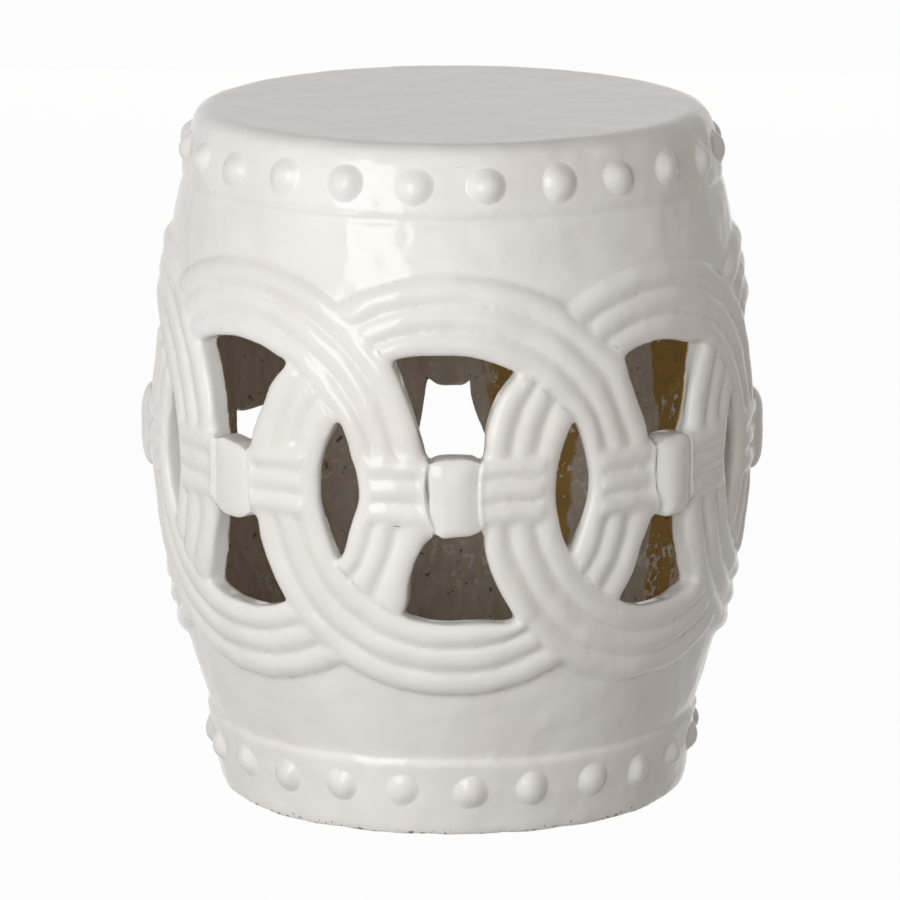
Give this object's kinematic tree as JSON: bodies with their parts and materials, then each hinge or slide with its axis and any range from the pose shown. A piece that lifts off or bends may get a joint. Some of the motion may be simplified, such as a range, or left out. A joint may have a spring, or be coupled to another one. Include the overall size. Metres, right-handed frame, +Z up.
{
  "type": "ceramic garden stool",
  "caption": "Barrel-shaped glazed ceramic garden stool with a pierced band of interlocking rings, a flat round seat and rows of studs.",
  "frame": {"origin": "centre of the foot, on the floor", "axes": "+Z up through the seat, -Y towards the front of the picture, +X to its right"},
  "size_m": [0.4172, 0.4172, 0.46],
  "materials": {
    "white_glazed_stoneware": "glossy milky white glaze over stoneware, softly uneven, thin at the edges; bare brown clay with runs of glaze inside"
  },
  "bodies": {
    "root": {"seat_slab": "white_glazed_stoneware", "shoulder_collar": "white_glazed_stoneware", "shoulder_wall": "white_glazed_stoneware", "shoulder_studs": "white_glazed_stoneware", "foot_wall": "white_glazed_stoneware", "foot_collar": "white_glazed_stoneware", "foot_studs": "white_glazed_stoneware", "upper_strap_1": "white_glazed_stoneware", "upper_strap_2": "white_glazed_stoneware", "upper_strap_3": "white_glazed_stoneware", "upper_strap_4": "white_glazed_stoneware", "upper_strap_5": "white_glazed_stoneware", "upper_strap_6": "white_glazed_stoneware", "upper_strap_7": "white_glazed_stoneware", "upper_strap_8": "white_glazed_stoneware", "lower_strap_1": "white_glazed_stoneware", "lower_strap_2": "white_glazed_stoneware", "lower_strap_3": "white_glazed_stoneware", "lower_strap_4": "white_glazed_stoneware", "lower_strap_5": "white_glazed_stoneware", "lower_strap_6": "white_glazed_stoneware", "lower_strap_7": "white_glazed_stoneware", "lower_strap_8": "white_glazed_stoneware", "belt_1": "white_glazed_stoneware", "belt_2": "white_glazed_stoneware", "belt_3": "white_glazed_stoneware", "belt_4": "white_glazed_stoneware", "belt_5": "white_glazed_stoneware", "belt_6": "white_glazed_stoneware", "belt_7": "white_glazed_stoneware", "belt_8": "white_glazed_stoneware", "knot_1": "white_glazed_stoneware", "knot_2": "white_glazed_stoneware", "knot_3": "white_glazed_stoneware", "knot_4": "white_glazed_stoneware", "knot_5": "white_glazed_stoneware", "knot_6": "white_glazed_stoneware", "knot_7": "white_glazed_stoneware", "knot_8": "white_glazed_stoneware"}
  },
  "joints": []
}
